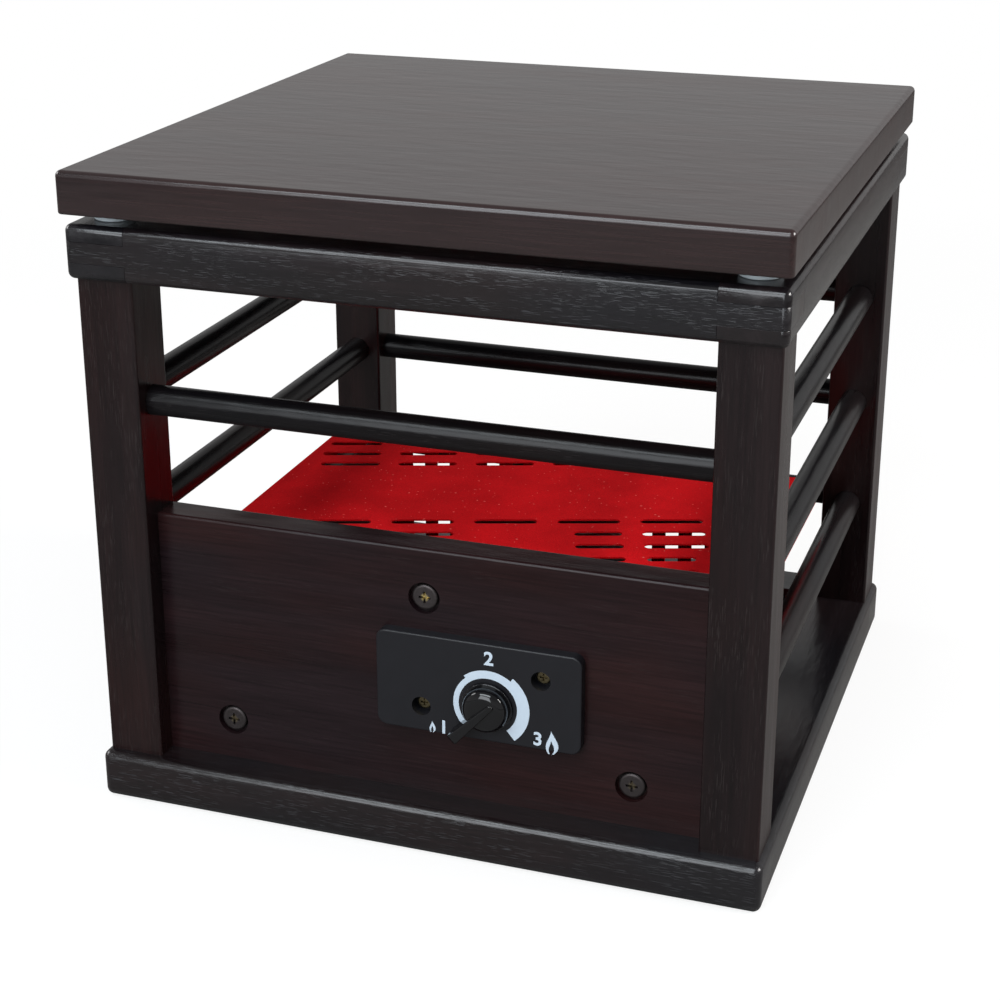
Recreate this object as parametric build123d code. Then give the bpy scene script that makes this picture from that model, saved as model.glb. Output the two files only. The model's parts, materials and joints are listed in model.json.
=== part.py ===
from build123d import *
import os
from math import atan2, cos, degrees, radians, sin

os.makedirs("parts", exist_ok=True)

# A small square kotatsu: a liftable board on a rung-sided wooden stand that holds a low electric heater.
# X is to the right, Y to the back and Z up. The origin is on the floor under the middle of the table.

# ---- Driving dimensions, in millimetres ----
# Board and its pads
board_width = 300.0
board_depth = 300.0
board_thickness = 18.0
board_edge_radius = 2.5
board_low_edge_radius = 1.0
pad_diameter = 17.0
pad_thickness = 4.5
pad_edge_radius = 0.8

# Top frame: four finger-jointed rails
frame_side_setback = 1.0
frame_front_setback = 2.5
frame_rail_width = 27.0
frame_rail_height = 23.0
frame_edge_radius = 3.0
finger_thickness = 9.0

# Posts
post_size = 25.0
post_length = 217.5
post_side_inset = 2.3
post_front_inset = 4.3
post_edge_radius = 1.2

# Rungs
rung_diameter = 13.0
rung_rows = 3
tenon_spacing = 1.0

# Base frame and the thin floor in its groove
base_side_setback = 1.0
base_front_setback = 2.0
base_side_rail_width = 30.0
base_cross_rail_width = 25.0
base_height = 22.0
base_edge_radius = 3.5
floor_thickness = 4.0
floor_lift = 4.0
groove_depth = 6.0
groove_end_gap = 0.5

# Wood fasteners
wood_screw_diameter = 4.0
wood_screw_head_diameter = 8.0
wood_screw_length = 45.0
dowel_diameter = 8.0
dowel_length = 30.0
dowel_inset = 8.0
panel_dowel_diameter = 6.0
panel_dowel_length = 20.0
panel_dowel_spread = 0.5
fit_gap = 0.05

# Front panel and the three screws that hold the heater to it
panel_height = 112.5
panel_thickness = 15.0
panel_edge_radius = 1.4
top_screw_drop = 22.0
low_screw_inset = 13.5
low_screw_rise = 18.5
screw_diameter = 4.0
screw_head_diameter = 11.6
screw_head_height = 2.6
screw_head_sink = 0.6
screw_tip_spare = 2.0
counterbore_diameter = 14.0
nut_flats = 7.0
nut_thickness = 3.2
cross_size = 5.2
cross_width = 1.1
cross_depth = 1.6
small_cross_size = 3.4
small_cross_width = 0.8
small_cross_depth = 1.2

# Control plate
plate_width = 90.0
plate_height = 44.5
plate_thickness = 5.0
plate_corner_radius = 4.5
plate_edge_radius = 0.8
plate_offset = 25.0
plate_rise = 53.8
boss_diameter = 11.5
boss_length = 3.4
boss_floor = 2.2
recess_diameter = 8.5
plate_screw_diameter = 3.0
plate_screw_head_diameter = 6.4
plate_screw_head_height = 2.2
plate_screw_length = 9.0
left_screw_offset = -25.0
left_screw_rise = -10.8
right_screw_offset = 27.5
right_screw_rise = 9.3

# Control unit, its shaft and the knob
dial_offset = 4.6
dial_rise = -6.0
unit_width = 34.0
unit_height = 22.0
unit_depth = 30.0
unit_clearance = 0.5
bush_diameter = 9.0
bush_length = 6.8
bush_nut_flats = 12.0
bush_nut_thickness = 1.6
shaft_diameter = 6.0
shaft_clearance = 0.05
shaft_flat = 1.2
shaft_seat_depth = 12.0
knob_diameter = 22.0
knob_collar_height = 1.4
knob_cap_diameter = 20.0
knob_cap_height = 5.8
knob_cap_radius = 4.6
knob_wall = 1.8
knob_face_wall = 2.0
knob_hollow = 3.2
knob_play = 0.4
knob_height = 11.0
bar_tip_width = 5.0
bar_tail_width = 2.6
bar_tip = 18.5
bar_tip_ease = 1.6
bar_tail = 6.0
bar_root_rise = 0.9
bar_edge_radius = 0.8
knob_rest_angle = 225.0

# Heater guard: one folded sheet with a slotted top and back
guard_gauge = 0.8
guard_fold_radius = 1.0
guard_rise = 80.5
guard_side_clearance = 2.7
guard_depth = 197.0
skirt_drop = 12.0
guard_back_lift = 4.0
tab_width = 32.0
tab_height = 18.0
slot_angle = 19.0
grid_side_offset = 104.0
grid_back_offset = 79.0
slot_length = 29.5
slot_width = 5.0
column_pitch = 38.6
middle_column = -9.0
row_pitch = 14.6
slot_columns = 5
back_rows = 3
back_rows_start = 56.3
front_rows = 5
front_rows_start = -19.0
short_slot_cut = 7.2
slot_edge_margin = 4.5
slot_least_length = 12.0
vent_pitch = 13.7
vent_width = 6.8
vent_side_margin = 14.0
vent_shift = -1.7
guard_screw_inset = 14.0
vent_low_margin = 33.0
vent_top_margin = 9.0

# Heater tray
tray_gauge = 0.8
tray_inset = 21.0
tray_front_height = 42.0
tray_lip_height = 22.0
tray_screw_inset = 22.0
small_screw_diameter = 3.0
small_screw_head_diameter = 6.0
small_screw_head_height = 2.0
small_screw_length = 5.0

# Heating unit, which lies along the rows of slots
heater_along = 31.0
heater_across = 18.0
shield_length = 122.0
shield_width = 64.0
shield_corner_radius = 3.0
shield_gap = 3.3
spacer_diameter = 6.0
spacer_inset = 8.0
case_length = 38.0
case_width = 26.0
case_height = 24.0
case_wall = 0.8
case_shift = -18.0
reflector_length = 130.0
reflector_floor = 34.0
reflector_wing = 12.0
reflector_wing_rise = 14.0
reflector_lift = 26.0
bracket_width = 12.0
bracket_inset = 20.0
tube_diameter = 10.0
tube_wall = 1.0
tube_length = 112.0
tube_lift = 14.0
coil_diameter = 5.0
socket_size = 16.0
socket_length = 14.0
socket_depth = 6.0
terminal_length = 26.0
terminal_width = 14.0
terminal_height = 12.0
terminal_hole = 3.0
terminal_inner_hole = 3.5
terminal_outer_hole = 9.5
fuse_diameter = 4.0
fuse_length = 12.0
lead_diameter = 2.4
lead_straight = 12.0
lead_detour = 40.0

# Cord bush in the guard's back
bush_inset = 24.0
bush_rise = 22.0
cord_bore = 7.2
cord_bush_diameter = 11.0
cord_flange_diameter = 15.0
cord_flange_thickness = 2.0
cord_flange_room = 1.0

# ---- Derived places ----
# Frame, base, posts and rungs
frame_half_x = board_width / 2 - frame_side_setback
frame_half_y = board_depth / 2 - frame_front_setback
base_half_x = board_width / 2 - base_side_setback
base_half_y = board_depth / 2 - base_front_setback
post_x = frame_half_x - post_side_inset - post_size / 2
post_y = frame_half_y - post_front_inset - post_size / 2
corners = [(sx, sy) for sx in (-1, 1) for sy in (-1, 1)]
frame_bottom = base_height + post_length
frame_top = frame_bottom + frame_rail_height
board_bottom = frame_top + pad_thickness
post_gap_x = 2 * post_x - post_size
post_gap_y = 2 * post_y - post_size
rung_levels = [
    base_height + post_length * (row + 1) / (rung_rows + 1) for row in range(rung_rows)
]
tenon_depth = (post_size - rung_diameter - tenon_spacing) / 2
dowel_level = base_height - dowel_inset

# Front panel and its screws
panel_back = -post_y + post_size / 2
panel_front = panel_back - panel_thickness
panel_top = base_height + panel_height
panel_hole_diameter = screw_diameter + 2 * fit_gap
counterbore_depth = screw_head_height + screw_head_sink
top_screw = (0.0, panel_top - top_screw_drop)
panel_dowel_levels = [
    base_height + panel_height * (1 + side * panel_dowel_spread) / 2 for side in (-1, 1)
]

# Control plate, unit, shaft and knob
plate_front = panel_front - plate_thickness
plate_z = base_height + plate_rise
plate_screw_seat = panel_front + boss_length - boss_floor
plate_screw_points = [
    (plate_offset + left_screw_offset, plate_z + left_screw_rise),
    (plate_offset + right_screw_offset, plate_z + right_screw_rise),
]
dial_x = plate_offset + dial_offset
dial_z = plate_z + dial_rise
unit_x0 = dial_x - unit_width / 2
unit_x1 = dial_x + unit_width / 2
unit_z0 = dial_z - unit_height / 2
unit_z1 = dial_z + unit_height / 2
unit_back = panel_front + unit_depth
shaft_back = panel_front + shaft_seat_depth
knob_back = plate_front - knob_play
hub_back = knob_back - bush_nut_thickness - knob_play
collar_front = knob_back - knob_collar_height
cap_front = collar_front - knob_cap_height
flat_front = cap_front + knob_face_wall

# Guard, tray and bush
guard_half_x = post_x - rung_diameter / 2 - guard_side_clearance
guard_top = base_height + guard_rise
guard_under = guard_top - guard_gauge
guard_back = panel_back + guard_depth
tray_half_x = guard_half_x - tray_inset
tray_bottom = floor_lift + floor_thickness
tray_floor = tray_bottom + tray_gauge
tray_back = guard_back - guard_gauge
tray_screw_points = [
    (sx * (tray_half_x - tray_screw_inset), y)
    for sx in (-1, 1)
    for y in (panel_back + tray_screw_inset, tray_back - tray_screw_inset)
]
low_screws = [
    (side * (tray_half_x - low_screw_inset), base_height + low_screw_rise) for side in (-1, 1)
]
panel_screw_points = [top_screw] + low_screws
bush_x = bush_inset - tray_half_x
bush_z = tray_bottom + bush_rise
guard_screw_points = [
    (side * (tray_half_x - guard_screw_inset), tray_bottom + tray_lip_height / 2) for side in (-1, 1)
]

# Slanted rows of slots, and the heating unit that lies along them
grid_x = tray_half_x - grid_side_offset
grid_y = guard_back - grid_back_offset
row_along = (cos(radians(slot_angle)), sin(radians(slot_angle)))
heater_x = grid_x + heater_along * row_along[0] - heater_across * row_along[1]
heater_y = grid_y + heater_along * row_along[1] + heater_across * row_along[0]
shield_top = guard_under - shield_gap
shield_under = shield_top - tray_gauge
reflector_under = tray_floor + reflector_lift
reflector_top = reflector_under + tray_gauge
tube_z = reflector_top + tube_lift
case_low = shield_under - case_height


# ---- Small helpers ----
def block(x0, x1, y0, y1, z0, z1):
    """A box between two opposite corners."""
    size = Box(x1 - x0, y1 - y0, z1 - z0)
    return Pos((x0 + x1) / 2, (y0 + y1) / 2, (z0 + z1) / 2) * size


def rod_x(radius, x0, x1, y, z):
    """A round bar along X."""
    return Pos((x0 + x1) / 2, y, z) * Rot(0, 90, 0) * Cylinder(radius, x1 - x0)


def rod_y(radius, y0, y1, x, z):
    """A round bar along Y."""
    return Pos(x, (y0 + y1) / 2, z) * Rot(90, 0, 0) * Cylinder(radius, y1 - y0)


def rod_z(radius, z0, z1, x, y):
    """A round bar along Z."""
    return Pos(x, y, (z0 + z1) / 2) * Cylinder(radius, z1 - z0)


def hex_y(flats, y0, y1, x, z):
    """A hexagonal bar along Y, given across its flats."""
    outline = RegularPolygon(flats / 2, 6, major_radius=False)
    bar = extrude(outline, y1 - y0)
    return Pos(x, y1, z) * Rot(90, 0, 0) * bar


def save(node, *solids):
    """Write one node as separate solids."""
    shapes = []
    for solid in solids:
        shapes.extend(solid.solids())
    export_step(Compound(children=shapes), f"parts/{node}.step")


def rounded_slab(half_x, half_y, z0, z1, radius):
    """A rectangular slab with its outer edges and corners rounded."""
    slab = block(-half_x, half_x, -half_y, half_y, z0, z1)
    return fillet(slab.edges(), min(radius, 0.45 * (z1 - z0)))


# ---- Board and pads ----
def make_board():
    """The loose board: its top edges and corners are rounded, and its lower edges only broken."""
    half_x = board_width / 2
    half_y = board_depth / 2
    board = block(-half_x, half_x, -half_y, half_y, board_bottom, board_bottom + board_thickness)
    low_edges = board.faces().sort_by(Axis.Z)[0].edges()
    rounded = [edge for edge in board.edges() if edge not in low_edges]
    board = fillet(rounded, min(board_edge_radius, 0.45 * board_thickness))
    return fillet(board.faces().sort_by(Axis.Z)[0].edges(), board_low_edge_radius)


def make_pads():
    """Four round pads over the frame screws, which carry the board."""
    pads = []
    for sx, sy in corners:
        pad = rod_z(pad_diameter / 2, frame_top, board_bottom, sx * post_x, sy * post_y)
        rims = pad.edges().filter_by(GeomType.CIRCLE)
        pads.append(fillet(rims, min(pad_edge_radius, 0.4 * pad_thickness)))
    return pads


# ---- Wood screws from the frame and the base into the posts ----
def countersunk_screw(x, y, z_head, direction, gap=0.0):
    """A countersunk screw, or its hole when gap is above 0, driven along direction (+1 up, -1 down)."""
    head_depth = (wood_screw_head_diameter - wood_screw_diameter) / 2
    shank = Cylinder(wood_screw_diameter / 2 + gap, wood_screw_length + gap)
    shank = Pos(0, 0, (wood_screw_length + gap) / 2) * shank
    wide = wood_screw_head_diameter / 2 + gap
    narrow = wood_screw_diameter / 2 + gap
    head = Pos(0, 0, head_depth / 2) * Cone(wide, narrow, head_depth)
    screw = shank + head
    if gap == 0.0:
        slot_a = Box(cross_size, cross_width, 2 * cross_depth)
        slot_b = Box(cross_width, cross_size, 2 * cross_depth)
        screw = screw - slot_a - slot_b
    if direction < 0:
        screw = Rot(180, 0, 0) * screw
    return Pos(x, y, z_head) * screw


def frame_screw(sx, sy, gap=0.0):
    """The screw down through a frame corner into its post."""
    return countersunk_screw(sx * post_x, sy * post_y, frame_top, -1, gap)


def base_screw(sx, sy, gap=0.0):
    """The screw up through a base corner into its post."""
    return countersunk_screw(sx * post_x, sy * post_y, 0.0, 1, gap)


# ---- Top frame ----
def make_frame():
    """Four rails cut out of one rounded ring, so that their fingers interlock at the corners."""
    ring = rounded_slab(frame_half_x, frame_half_y, frame_bottom, frame_top, frame_edge_radius)
    inner_x = frame_half_x - frame_rail_width
    inner_y = frame_half_y - frame_rail_width
    ring = ring - block(-inner_x, inner_x, -inner_y, inner_y, frame_bottom - 1, frame_top + 1)
    for sx, sy in corners:
        ring = ring - frame_screw(sx, sy, fit_gap)
    middle = (frame_bottom + frame_top) / 2
    low = middle - finger_thickness / 2
    high = middle + finger_thickness / 2
    rails = {}
    for name, side in (("front", -1), ("rear", 1)):
        y0, y1 = sorted((side * inner_y, side * frame_half_y))
        span = block(-inner_x, inner_x, y0, y1, frame_bottom, frame_top)
        fingers = block(-frame_half_x, frame_half_x, y0, y1, low, high)
        rails[f"frame_rail_{name}"] = ring & (span + fingers)
    for name, side in (("left", -1), ("right", 1)):
        x0, x1 = sorted((side * inner_x, side * frame_half_x))
        rail = block(x0, x1, -frame_half_y, frame_half_y, frame_bottom, frame_top)
        for end in (-1, 1):
            y0, y1 = sorted((end * inner_y, end * frame_half_y))
            rail = rail - block(x0, x1, y0, y1, low, high)
        rails[f"frame_rail_{name}"] = ring & rail
    return rails


# ---- Rungs ----
def make_rungs():
    """Round rungs let into the posts: a full ladder at each side and the back, and one at the front."""
    rungs = {}
    half_x = post_gap_x / 2 + tenon_depth
    half_y = post_gap_y / 2 + tenon_depth
    radius = rung_diameter / 2
    for row, z in enumerate(rung_levels, start=1):
        rungs[f"rung_left_{row}"] = rod_y(radius, -half_y, half_y, -post_x, z)
        rungs[f"rung_right_{row}"] = rod_y(radius, -half_y, half_y, post_x, z)
        rungs[f"rung_rear_{row}"] = rod_x(radius, -half_x, half_x, post_y, z)
    rungs["rung_front"] = rod_x(radius, -half_x, half_x, -post_y, rung_levels[-1])
    return rungs


# ---- Posts ----
def panel_dowels(gap=0.0):
    """Two dowels at each side of the front panel, let half into the panel and half into the post."""
    dowels = []
    panel_mid = (panel_front + panel_back) / 2
    for side in (-1, 1):
        for z in panel_dowel_levels:
            x = side * post_gap_x / 2
            half = panel_dowel_length / 2 + gap
            dowels.append(rod_x(panel_dowel_diameter / 2 + gap, x - half, x + half, panel_mid, z))
    return dowels


def make_posts(rungs):
    """Four square posts, bored for the rungs, the screws and the panel's dowels."""
    posts = {}
    half = post_size / 2
    bores = []
    for name, rung in rungs.items():
        box = rung.bounding_box()
        centre = box.center()
        if box.size.X > box.size.Y:
            long_half = box.size.X / 2 + fit_gap
            bores.append(rod_x(rung_diameter / 2 + fit_gap, -long_half, long_half, centre.Y, centre.Z))
        else:
            long_half = box.size.Y / 2 + fit_gap
            bores.append(rod_y(rung_diameter / 2 + fit_gap, -long_half, long_half, centre.X, centre.Z))
    for (sx, sy), name in zip(corners, ("front_left", "rear_left", "front_right", "rear_right")):
        x = sx * post_x
        y = sy * post_y
        post = block(x - half, x + half, y - half, y + half, base_height, frame_bottom)
        post = fillet(post.edges().filter_by(Axis.Z), min(post_edge_radius, 0.2 * post_size))
        for bore in bores:
            post = post - bore
        post = post - frame_screw(sx, sy, fit_gap) - base_screw(sx, sy, fit_gap)
        if sy < 0:
            for dowel in panel_dowels(fit_gap):
                post = post - dowel
        posts[f"post_{name}"] = post
    return posts


# ---- Base ----
def base_dowels(gap=0.0):
    """Two dowels at each end of both side rails, let half into the cross rail."""
    dowels = []
    butt_y = base_half_y - base_cross_rail_width
    half = dowel_length / 2 + gap
    outer = base_half_x - dowel_inset
    inner = base_half_x - base_side_rail_width + dowel_inset
    for side in (-1, 1):
        for end in (-1, 1):
            for x in (side * outer, side * inner):
                y = end * butt_y
                dowel = rod_y(dowel_diameter / 2 + gap, y - half, y + half, x, dowel_level)
                dowels.append(dowel)
    return dowels


def make_base():
    """Two full cross rails with the side rails butted between them, and a thin floor in their groove."""
    ring = rounded_slab(base_half_x, base_half_y, 0, base_height, base_edge_radius)
    inner_x = base_half_x - base_side_rail_width
    inner_y = base_half_y - base_cross_rail_width
    ring = ring - block(-inner_x, inner_x, -inner_y, inner_y, -1, base_height + 1)
    groove_x = inner_x + groove_depth
    groove_y = inner_y + groove_depth
    ring = ring - block(-groove_x, groove_x, -groove_y, groove_y, floor_lift, tray_bottom)
    for sx, sy in corners:
        ring = ring - base_screw(sx, sy, fit_gap)
    pieces = {}
    for name, side in (("front", -1), ("rear", 1)):
        y0, y1 = sorted((side * inner_y, side * base_half_y))
        rail = ring & block(-base_half_x, base_half_x, y0, y1, 0, base_height)
        pieces[f"base_rail_{name}"] = rail
    for name, side in (("left", -1), ("right", 1)):
        x0, x1 = sorted((side * inner_x, side * base_half_x))
        rail = ring & block(x0, x1, -inner_y, inner_y, 0, base_height)
        pieces[f"base_rail_{name}"] = rail
    for name in pieces:
        for dowel in base_dowels(fit_gap):
            pieces[name] = pieces[name] - dowel
    floor_x = groove_x - groove_end_gap
    floor_y = groove_y - groove_end_gap
    pieces["base_floor"] = block(-floor_x, floor_x, -floor_y, floor_y, floor_lift, tray_bottom)
    for x, y in tray_screw_points:
        hole = rod_z(small_screw_diameter / 2 + fit_gap, floor_lift - 1, tray_bottom + 1, x, y)
        pieces["base_floor"] = pieces["base_floor"] - hole
    return pieces


# ---- Front panel ----
def make_panel():
    """The wooden front, bored for its screws, the plate's bosses and the control unit."""
    half = post_gap_x / 2
    panel = block(-half, half, panel_front, panel_back, base_height, panel_top)
    arris = panel.edges().filter_by(Axis.X).group_by(Axis.Z)[-1]
    panel = fillet(arris, min(panel_edge_radius, 0.2 * panel_thickness))
    for x, z in panel_screw_points:
        panel = panel - rod_y(panel_hole_diameter / 2, panel_front - 1, panel_back + 1, x, z)
        seat = panel_front + counterbore_depth
        panel = panel - rod_y(counterbore_diameter / 2, panel_front - 1, seat, x, z)
    for x, z in plate_screw_points:
        socket = panel_front + boss_length + fit_gap
        panel = panel - rod_y(boss_diameter / 2 + fit_gap, panel_front - 1, socket, x, z)
        tip = plate_screw_seat + plate_screw_length + fit_gap
        panel = panel - rod_y(plate_screw_diameter / 2 + fit_gap, panel_front, tip, x, z)
    c = unit_clearance
    opening = block(unit_x0 - c, unit_x1 + c, panel_front - 1, panel_back + 1, unit_z0 - c, unit_z1 + c)
    panel = panel - opening
    for dowel in panel_dowels(fit_gap):
        panel = panel - dowel
    return panel


def cross_cut(x, y_face, z, size, width, depth):
    """The cross-shaped driver recess in a screw head whose face is at y_face."""
    tall = block(x - width / 2, x + width / 2, y_face - 1, y_face + depth, z - size / 2, z + size / 2)
    wide = block(x - size / 2, x + size / 2, y_face - 1, y_face + depth, z - width / 2, z + width / 2)
    return tall + wide


def make_panel_screws():
    """Pan-headed machine screws in their counterbores, and the nuts behind the heater's flanges."""
    screws = []
    nuts = []
    gauges = (guard_gauge, tray_gauge, tray_gauge)
    for (x, z), gauge in zip(panel_screw_points, gauges):
        seat = panel_front + counterbore_depth
        nut_front = panel_back + gauge
        nut_back = nut_front + nut_thickness
        head = rod_y(screw_head_diameter / 2, seat - screw_head_height, seat, x, z)
        face_edge = head.edges().filter_by(GeomType.CIRCLE).sort_by(Axis.Y)[0]
        head = fillet(face_edge, 0.5 * screw_head_height)
        shank = rod_y(screw_diameter / 2, seat, nut_back + screw_tip_spare, x, z)
        face = seat - screw_head_height
        screws.append(head + shank - cross_cut(x, face, z, cross_size, cross_width, cross_depth))
        nut = hex_y(nut_flats, nut_front, nut_back, x, z)
        nuts.append(nut - rod_y(screw_diameter / 2 + fit_gap, panel_back, nut_back + 1, x, z))
    return screws, nuts


# ---- Control plate ----
def make_plate():
    """The moulded plate with two deep screw bosses and the bush hole of the control unit."""
    x0 = plate_offset - plate_width / 2
    x1 = plate_offset + plate_width / 2
    z0 = plate_z - plate_height / 2
    z1 = plate_z + plate_height / 2
    plate = block(x0, x1, plate_front, panel_front, z0, z1)
    plate = fillet(plate.edges().filter_by(Axis.Y), min(plate_corner_radius, 0.3 * plate_height))
    rim = plate.faces().sort_by(Axis.Y)[0].edges()
    plate = fillet(rim, min(plate_edge_radius, 0.3 * plate_thickness))
    for x, z in plate_screw_points:
        plate = plate + rod_y(boss_diameter / 2, panel_front, panel_front + boss_length, x, z)
        plate = plate - rod_y(recess_diameter / 2, plate_front - 1, plate_screw_seat, x, z)
        hole_end = panel_front + boss_length + 1
        plate = plate - rod_y(plate_screw_diameter / 2 + fit_gap, plate_front, hole_end, x, z)
    return plate - rod_y(bush_diameter / 2 + fit_gap, plate_front - 1, panel_front + 1, dial_x, dial_z)


def make_plate_screws():
    """Small pan-headed screws at the bottom of the plate's deep recesses."""
    screws = []
    for x, z in plate_screw_points:
        face = plate_screw_seat - plate_screw_head_height
        head = rod_y(plate_screw_head_diameter / 2, face, plate_screw_seat, x, z)
        rim = head.edges().filter_by(GeomType.CIRCLE).sort_by(Axis.Y)[0]
        head = fillet(rim, 0.35 * plate_screw_head_height)
        tip = plate_screw_seat + plate_screw_length
        shank = rod_y(plate_screw_diameter / 2, plate_screw_seat, tip, x, z)
        cross = cross_cut(x, face, z, small_cross_size, small_cross_width, small_cross_depth)
        screws.append(head + shank - cross)
    return screws


# ---- Control unit, shaft and knob ----
def make_control_unit():
    """The regulator behind the plate, with its threaded bush, and the thin nut that holds it."""
    body = block(unit_x0, unit_x1, panel_front, unit_back, unit_z0, unit_z1)
    bush_front = panel_front - bush_length
    unit = body + rod_y(bush_diameter / 2, bush_front, panel_front, dial_x, dial_z)
    bore = shaft_diameter / 2 + shaft_clearance
    unit = unit - rod_y(bore, bush_front - 1, shaft_back + shaft_clearance, dial_x, dial_z)
    nut_front = plate_front - bush_nut_thickness
    nut = hex_y(bush_nut_flats, nut_front, plate_front, dial_x, dial_z)
    nut = nut - rod_y(bush_diameter / 2 + fit_gap, nut_front - 1, plate_front + 1, dial_x, dial_z)
    return unit, nut


def shaft_end(gap):
    """The shaft's flatted front end, or the knob's socket for it when gap is above 0."""
    end = rod_y(shaft_diameter / 2 + gap, flat_front - gap, hub_back, 0, 0)
    flat_z = shaft_diameter / 2 - shaft_flat + gap
    reach = shaft_diameter
    return end - block(-reach, reach, flat_front - reach, hub_back + reach, flat_z, reach)


def turned(piece):
    """A piece modelled about the dial's axis, turned to the knob's rest and put in place."""
    return Pos(dial_x, 0, dial_z) * Rot(0, -knob_rest_angle, 0) * piece


def make_shaft():
    """The turned shaft: round in the unit's bush, flatted in the knob."""
    return turned(rod_y(shaft_diameter / 2, hub_back, shaft_back, 0, 0) + shaft_end(0.0))


def make_knob():
    """A domed cap on a round collar, crossed by a raised bar whose long end points at the scale."""
    bar_front = knob_back - knob_height
    knob = rod_y(knob_diameter / 2, collar_front, knob_back, 0, 0)
    rim = knob.edges().filter_by(GeomType.CIRCLE).sort_by(Axis.Y)[0]
    knob = fillet(rim, 0.25 * knob_collar_height)
    cap = rod_y(knob_cap_diameter / 2, cap_front, collar_front, 0, 0)
    rim = cap.edges().filter_by(GeomType.CIRCLE).sort_by(Axis.Y)[0]
    cap = fillet(rim, knob_cap_radius)
    knob = knob + cap
    side = Polyline(
        (-bar_tail, cap_front - bar_root_rise),
        (bar_tip - bar_tip_ease, bar_front),
        (bar_tip, bar_front + bar_tip_ease),
        (bar_tip, collar_front),
        (-bar_tail, collar_front),
        close=True,
    )
    bar = extrude(Plane.XY * make_face(side), bar_tip_width / 2, both=True)
    plan = Polyline(
        (-bar_tail, -bar_tail_width / 2),
        (bar_tip, -bar_tip_width / 2),
        (bar_tip, bar_tip_width / 2),
        (-bar_tail, bar_tail_width / 2),
        close=True,
    )
    reach = 2 * knob_height
    wedge = Pos(0, bar_front, 0) * Rot(90, 0, 0) * extrude(make_face(plan), reach, both=True)
    bar = fillet((bar & wedge).edges(), bar_edge_radius)
    knob = knob + bar
    hollow = rod_y(knob_cap_diameter / 2 - knob_wall, knob_back - knob_hollow, knob_back + 1, 0, 0)
    hub = rod_y(shaft_diameter / 2 + knob_wall, knob_back - knob_hollow, knob_back, 0, 0)
    hub = hub - rod_y(knob_diameter, hub_back, knob_back + 1, 0, 0)
    return turned(knob - (hollow - hub) - shaft_end(fit_gap))


# ---- Heater guard ----
def slanted(x, y, along, across):
    """The X and Y of a point given along and across the slot rows from (x, y)."""
    x = x + along * row_along[0] - across * row_along[1]
    y = y + along * row_along[1] + across * row_along[0]
    return x, y


def slot_row_plan():
    """Each slot of the top as its middle along its row, its row and its length."""
    plan = []
    columns = range(-(slot_columns // 2), slot_columns // 2 + 1)
    for row in range(back_rows):
        for column in columns:
            along = middle_column + column * column_pitch
            plan.append((along, back_rows_start + row * row_pitch, slot_length))
    for row in range(front_rows):
        for column in columns:
            along = middle_column + column * column_pitch
            length = slot_length
            if row > 0 and column == 0:
                continue
            if row > 0 and column == 1:
                length = slot_length - short_slot_cut
                along = along + short_slot_cut / 2
            if row > 2 and column == 2:
                length = slot_length - short_slot_cut
                along = along - short_slot_cut / 2
            plan.append((along, front_rows_start - row * row_pitch, length))
    return plan


def ends_in_top(along, across, length):
    """Both ends of a slot along its row, held back to keep the edge margin inside the guard's top."""
    side = guard_half_x - slot_edge_margin
    front = panel_back + slot_edge_margin
    back = guard_back - slot_edge_margin
    across_x = [(x - grid_x + across * row_along[1]) / row_along[0] for x in (-side, side)]
    across_y = [(y - grid_y - across * row_along[0]) / row_along[1] for y in (front, back)]
    start = max(along - length / 2, across_x[0], across_y[0])
    end = min(along + length / 2, across_x[1], across_y[1])
    return start, end


def make_guard():
    """One sheet folded down at the sides and the back, slotted, with a tab up behind the panel."""
    skirt_low = guard_top - skirt_drop
    sheet = block(-guard_half_x, guard_half_x, panel_back, guard_back, skirt_low, guard_top)
    folds = sheet.edges().group_by(Axis.Z)[-1].sort_by(Axis.Y)[1:]
    sheet = fillet(folds, guard_fold_radius)
    inner_x = guard_half_x - guard_gauge
    sheet = sheet - block(-inner_x, inner_x, panel_back - 1, tray_back, skirt_low - 1, guard_under)
    back_low = tray_bottom + guard_back_lift
    sheet = sheet + block(-tray_half_x, tray_half_x, tray_back, guard_back, back_low, guard_under)
    tab_top = top_screw[1] + tab_height / 2
    tab_back = panel_back + guard_gauge
    sheet = sheet + block(-tab_width / 2, tab_width / 2, panel_back, tab_back, guard_under, tab_top)
    sheet = sheet - rod_y(panel_hole_diameter / 2, panel_back - 1, tab_back + 1, *top_screw)
    cutters = []
    for along, across, length in slot_row_plan():
        start, end = ends_in_top(along, across, length)
        if end - start > slot_least_length:
            x, y = slanted(grid_x, grid_y, (start + end) / 2, across)
            outline = SlotOverall(end - start, slot_width)
            cutter = Pos(x, y, guard_under - 1) * Rot(0, 0, slot_angle) * extrude(outline, guard_gauge + 2)
            cutters.append(cutter)
    vent_low = tray_bottom + vent_low_margin
    vent_high = guard_top - vent_top_margin
    vents = int(2 * (tray_half_x - vent_side_margin) / vent_pitch)
    for number in range(vents):
        x = vent_shift + (number - (vents - 1) / 2) * vent_pitch
        outline = SlotOverall(vent_high - vent_low, vent_width, rotation=90)
        bar = Rot(90, 0, 0) * extrude(outline, guard_gauge + 2)
        cutters.append(Pos(x, guard_back + 1, (vent_low + vent_high) / 2) * bar)
    sheet = sheet - cutters
    for x, z in guard_screw_points:
        sheet = sheet - rod_y(small_screw_diameter / 2 + fit_gap, tray_back - 1, guard_back + 1, x, z)
    return sheet - rod_y(cord_bush_diameter / 2 + fit_gap, tray_back - 1, guard_back + 1, bush_x, bush_z)


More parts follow.
